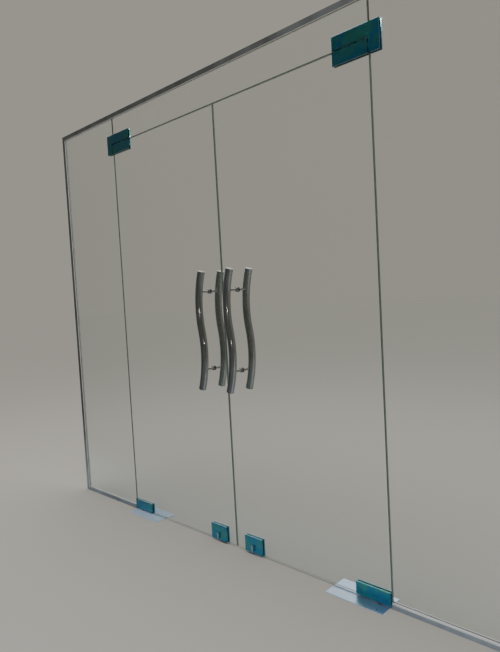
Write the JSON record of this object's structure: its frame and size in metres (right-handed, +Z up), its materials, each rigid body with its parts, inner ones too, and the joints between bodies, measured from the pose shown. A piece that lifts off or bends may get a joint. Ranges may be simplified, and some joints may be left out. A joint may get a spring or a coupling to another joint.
{
  "type": "frameless glass shop front with double doors",
  "caption": "Frameless toughened-glass shop front: double-action doors under an overpanel, between side lights, with patch fittings, floor springs, corner locks and S-shaped pull handles.",
  "frame": {"origin": "middle plane of the glass, midway between the two doors, at finished floor level", "axes": "X along the front, Y from the street into the shop, Z up"},
  "size_m": [3.01, 0.1778, 2.49],
  "materials": {
    "toughened_glass": "clear float glass, 12 mm, ground edges",
    "aluminium_channel": "mill-finish extrusion",
    "glazing_rubber": "clear wedge gasket",
    "packer_plastic": "moulded packers",
    "silicone": "translucent sealant",
    "fibre_gasket": "pressed fibre pads",
    "cast_clamp": "cast and plated",
    "filmed_stainless": "stainless pressing under blue-green film",
    "brushed_stainless": "brushed stainless sheet",
    "polished_stainless": "polished stainless tube",
    "machined_steel": "turned and milled steel",
    "zinc_sheet": "zinc-plated sheet steel",
    "cast_iron": "painted casting",
    "zinc_screws": "zinc-plated machine screws",
    "stainless_screws": "stainless countersunk screws",
    "nickel_brass": "nickel-plated brass",
    "nylon": "nylon"
  },
  "bodies": {
    "frame": {"closer_bodies": "cast_iron", "floor_boxes": "zinc_sheet", "floor_plate_screws": "stainless_screws", "frame_patch_gaskets": "fibre_gasket", "frame_patch_screws": "zinc_screws", "glazing_gaskets": "glazing_rubber", "head_channel": "aluminium_channel", "left_floor_cover_plate": "brushed_stainless", "left_frame_patch_clamp": "cast_clamp", "left_frame_patch_covers": "filmed_stainless", "left_jamb_channel": "aluminium_channel", "left_side_glass": "toughened_glass", "left_sill_channel": "aluminium_channel", "lock_floor_sockets": "machined_steel", "overpanel_glass": "toughened_glass", "pivot_pins": "machined_steel", "right_floor_cover_plate": "brushed_stainless", "right_frame_patch_clamp": "cast_clamp", "right_frame_patch_covers": "filmed_stainless", "right_jamb_channel": "aluminium_channel", "right_side_glass": "toughened_glass", "right_sill_channel": "aluminium_channel", "setting_blocks": "packer_plastic", "silicone_joints": "silicone"},
    "left_door": {"left_door_glass": "toughened_glass", "left_door_top_patch_clamp": "cast_clamp", "left_door_bottom_patch_clamp": "cast_clamp", "left_door_patch_covers": "filmed_stainless", "left_pivot_bush": "nylon", "left_spindle_insert": "machined_steel", "left_closer_spindle": "machined_steel", "left_lock_case": "cast_clamp", "left_lock_covers": "filmed_stainless", "left_lock_cylinder": "nickel_brass", "left_door_gaskets": "fibre_gasket", "left_door_screws": "zinc_screws", "left_outer_handle": "polished_stainless", "left_inner_handle": "polished_stainless", "left_handle_caps": "polished_stainless", "left_handle_posts": "polished_stainless"},
    "left_lock_plug": {"left_lock_plug": "nickel_brass"},
    "left_lock_bolt": {"left_lock_bolt": "machined_steel"},
    "right_door": {"right_door_glass": "toughened_glass", "right_door_top_patch_clamp": "cast_clamp", "right_door_bottom_patch_clamp": "cast_clamp", "right_door_patch_covers": "filmed_stainless", "right_pivot_bush": "nylon", "right_spindle_insert": "machined_steel", "right_closer_spindle": "machined_steel", "right_lock_case": "cast_clamp", "right_lock_covers": "filmed_stainless", "right_lock_cylinder": "nickel_brass", "right_door_gaskets": "fibre_gasket", "right_door_screws": "zinc_screws", "right_outer_handle": "polished_stainless", "right_inner_handle": "polished_stainless", "right_handle_caps": "polished_stainless", "right_handle_posts": "polished_stainless"},
    "right_lock_plug": {"right_lock_plug": "nickel_brass"},
    "right_lock_bolt": {"right_lock_bolt": "machined_steel"}
  },
  "joints": [
    {"name": "left_door_swing", "type": "hinge", "parent": "frame", "child": "left_door", "pos_m": [-0.835, 0, 0], "axis": [0, 0, 1], "range_deg": [-90, 90], "stiffness_Nm_per_rad": 10},
    {"name": "right_door_swing", "type": "hinge", "parent": "frame", "child": "right_door", "pos_m": [0.835, 0, 0], "axis": [0, 0, 1], "range_deg": [-90, 90], "stiffness_Nm_per_rad": 10},
    {"name": "left_key_turn", "type": "hinge", "parent": "left_door", "child": "left_lock_plug", "pos_m": [-0.127, 0, 0.0415], "axis": [0, 1, 0], "range_deg": [0, 360]},
    {"name": "left_bolt_throw", "type": "slide", "parent": "left_door", "child": "left_lock_bolt", "axis": [0, 0, -1], "range_m": [0, 0.02]},
    {"name": "right_key_turn", "type": "hinge", "parent": "right_door", "child": "right_lock_plug", "pos_m": [0.127, 0, 0.0415], "axis": [0, 1, 0], "range_deg": [0, 360]},
    {"name": "right_bolt_throw", "type": "slide", "parent": "right_door", "child": "right_lock_bolt", "axis": [0, 0, -1], "range_m": [0, 0.02]}
  ],
  "couplings": [
    {"joint": "left_key_turn", "follows": "left_bolt_throw", "rad_per_m": 314.16},
    {"joint": "right_key_turn", "follows": "right_bolt_throw", "rad_per_m": 314.16}
  ]
}
